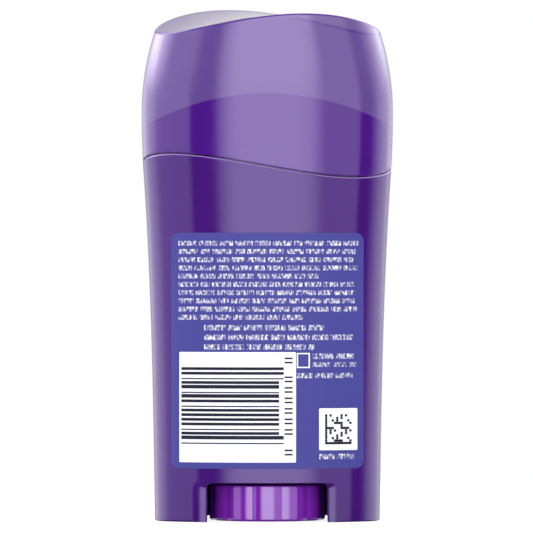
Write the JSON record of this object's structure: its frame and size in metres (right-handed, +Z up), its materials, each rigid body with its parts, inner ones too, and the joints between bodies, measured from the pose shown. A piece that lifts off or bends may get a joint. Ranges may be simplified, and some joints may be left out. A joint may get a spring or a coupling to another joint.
{
  "type": "deodorant stick",
  "caption": "Oval twist-up deodorant stick with a translucent cap, thumb wheel and feed screw, and a bar that winds up and down.",
  "frame": {"origin": "centre of the base, on the surface the stick stands on", "axes": "+Z up along the feed screw, +X across the wide side, -Y towards the printed back label"},
  "size_m": [0.0604, 0.034, 0.123],
  "materials": {
    "barrel_plastic": "polished purple moulding, faintly pearly",
    "cap_plastic": "milky translucent purple moulding with a glossy skin",
    "wheel_plastic": "glossy violet moulding",
    "platform_plastic": "plain natural moulding",
    "bar_wax": "smooth waxy white",
    "label_film": "satin printed film",
    "print_white": "white ink",
    "print_black": "black ink"
  },
  "bodies": {
    "barrel": {"barrel": "barrel_plastic", "back_label": "label_film", "front_label": "label_film", "barcode_panel": "print_white", "code_panel": "print_white", "barcode_stripes": "print_black", "code_cells": "print_black"},
    "cap": {"cap": "cap_plastic"},
    "thumb_wheel": {"thumb_wheel": "wheel_plastic"},
    "carriage": {"platform": "platform_plastic", "deodorant_bar": "bar_wax"}
  },
  "joints": [
    {"name": "cap_pull", "type": "slide", "parent": "barrel", "child": "cap", "axis": [0, 0, 1], "range_m": [0, 0.06]},
    {"name": "bar_lift", "type": "slide", "parent": "barrel", "child": "carriage", "axis": [0, 0, 1], "range_m": [0, 0.048]},
    {"name": "wheel_turn", "type": "hinge", "parent": "barrel", "child": "thumb_wheel", "pos_m": [0, 0, 0], "axis": [0, 0, -1], "range_deg": [0, 4320]}
  ],
  "couplings": [
    {"joint": "wheel_turn", "follows": "bar_lift", "rad_per_m": 1570.8}
  ]
}
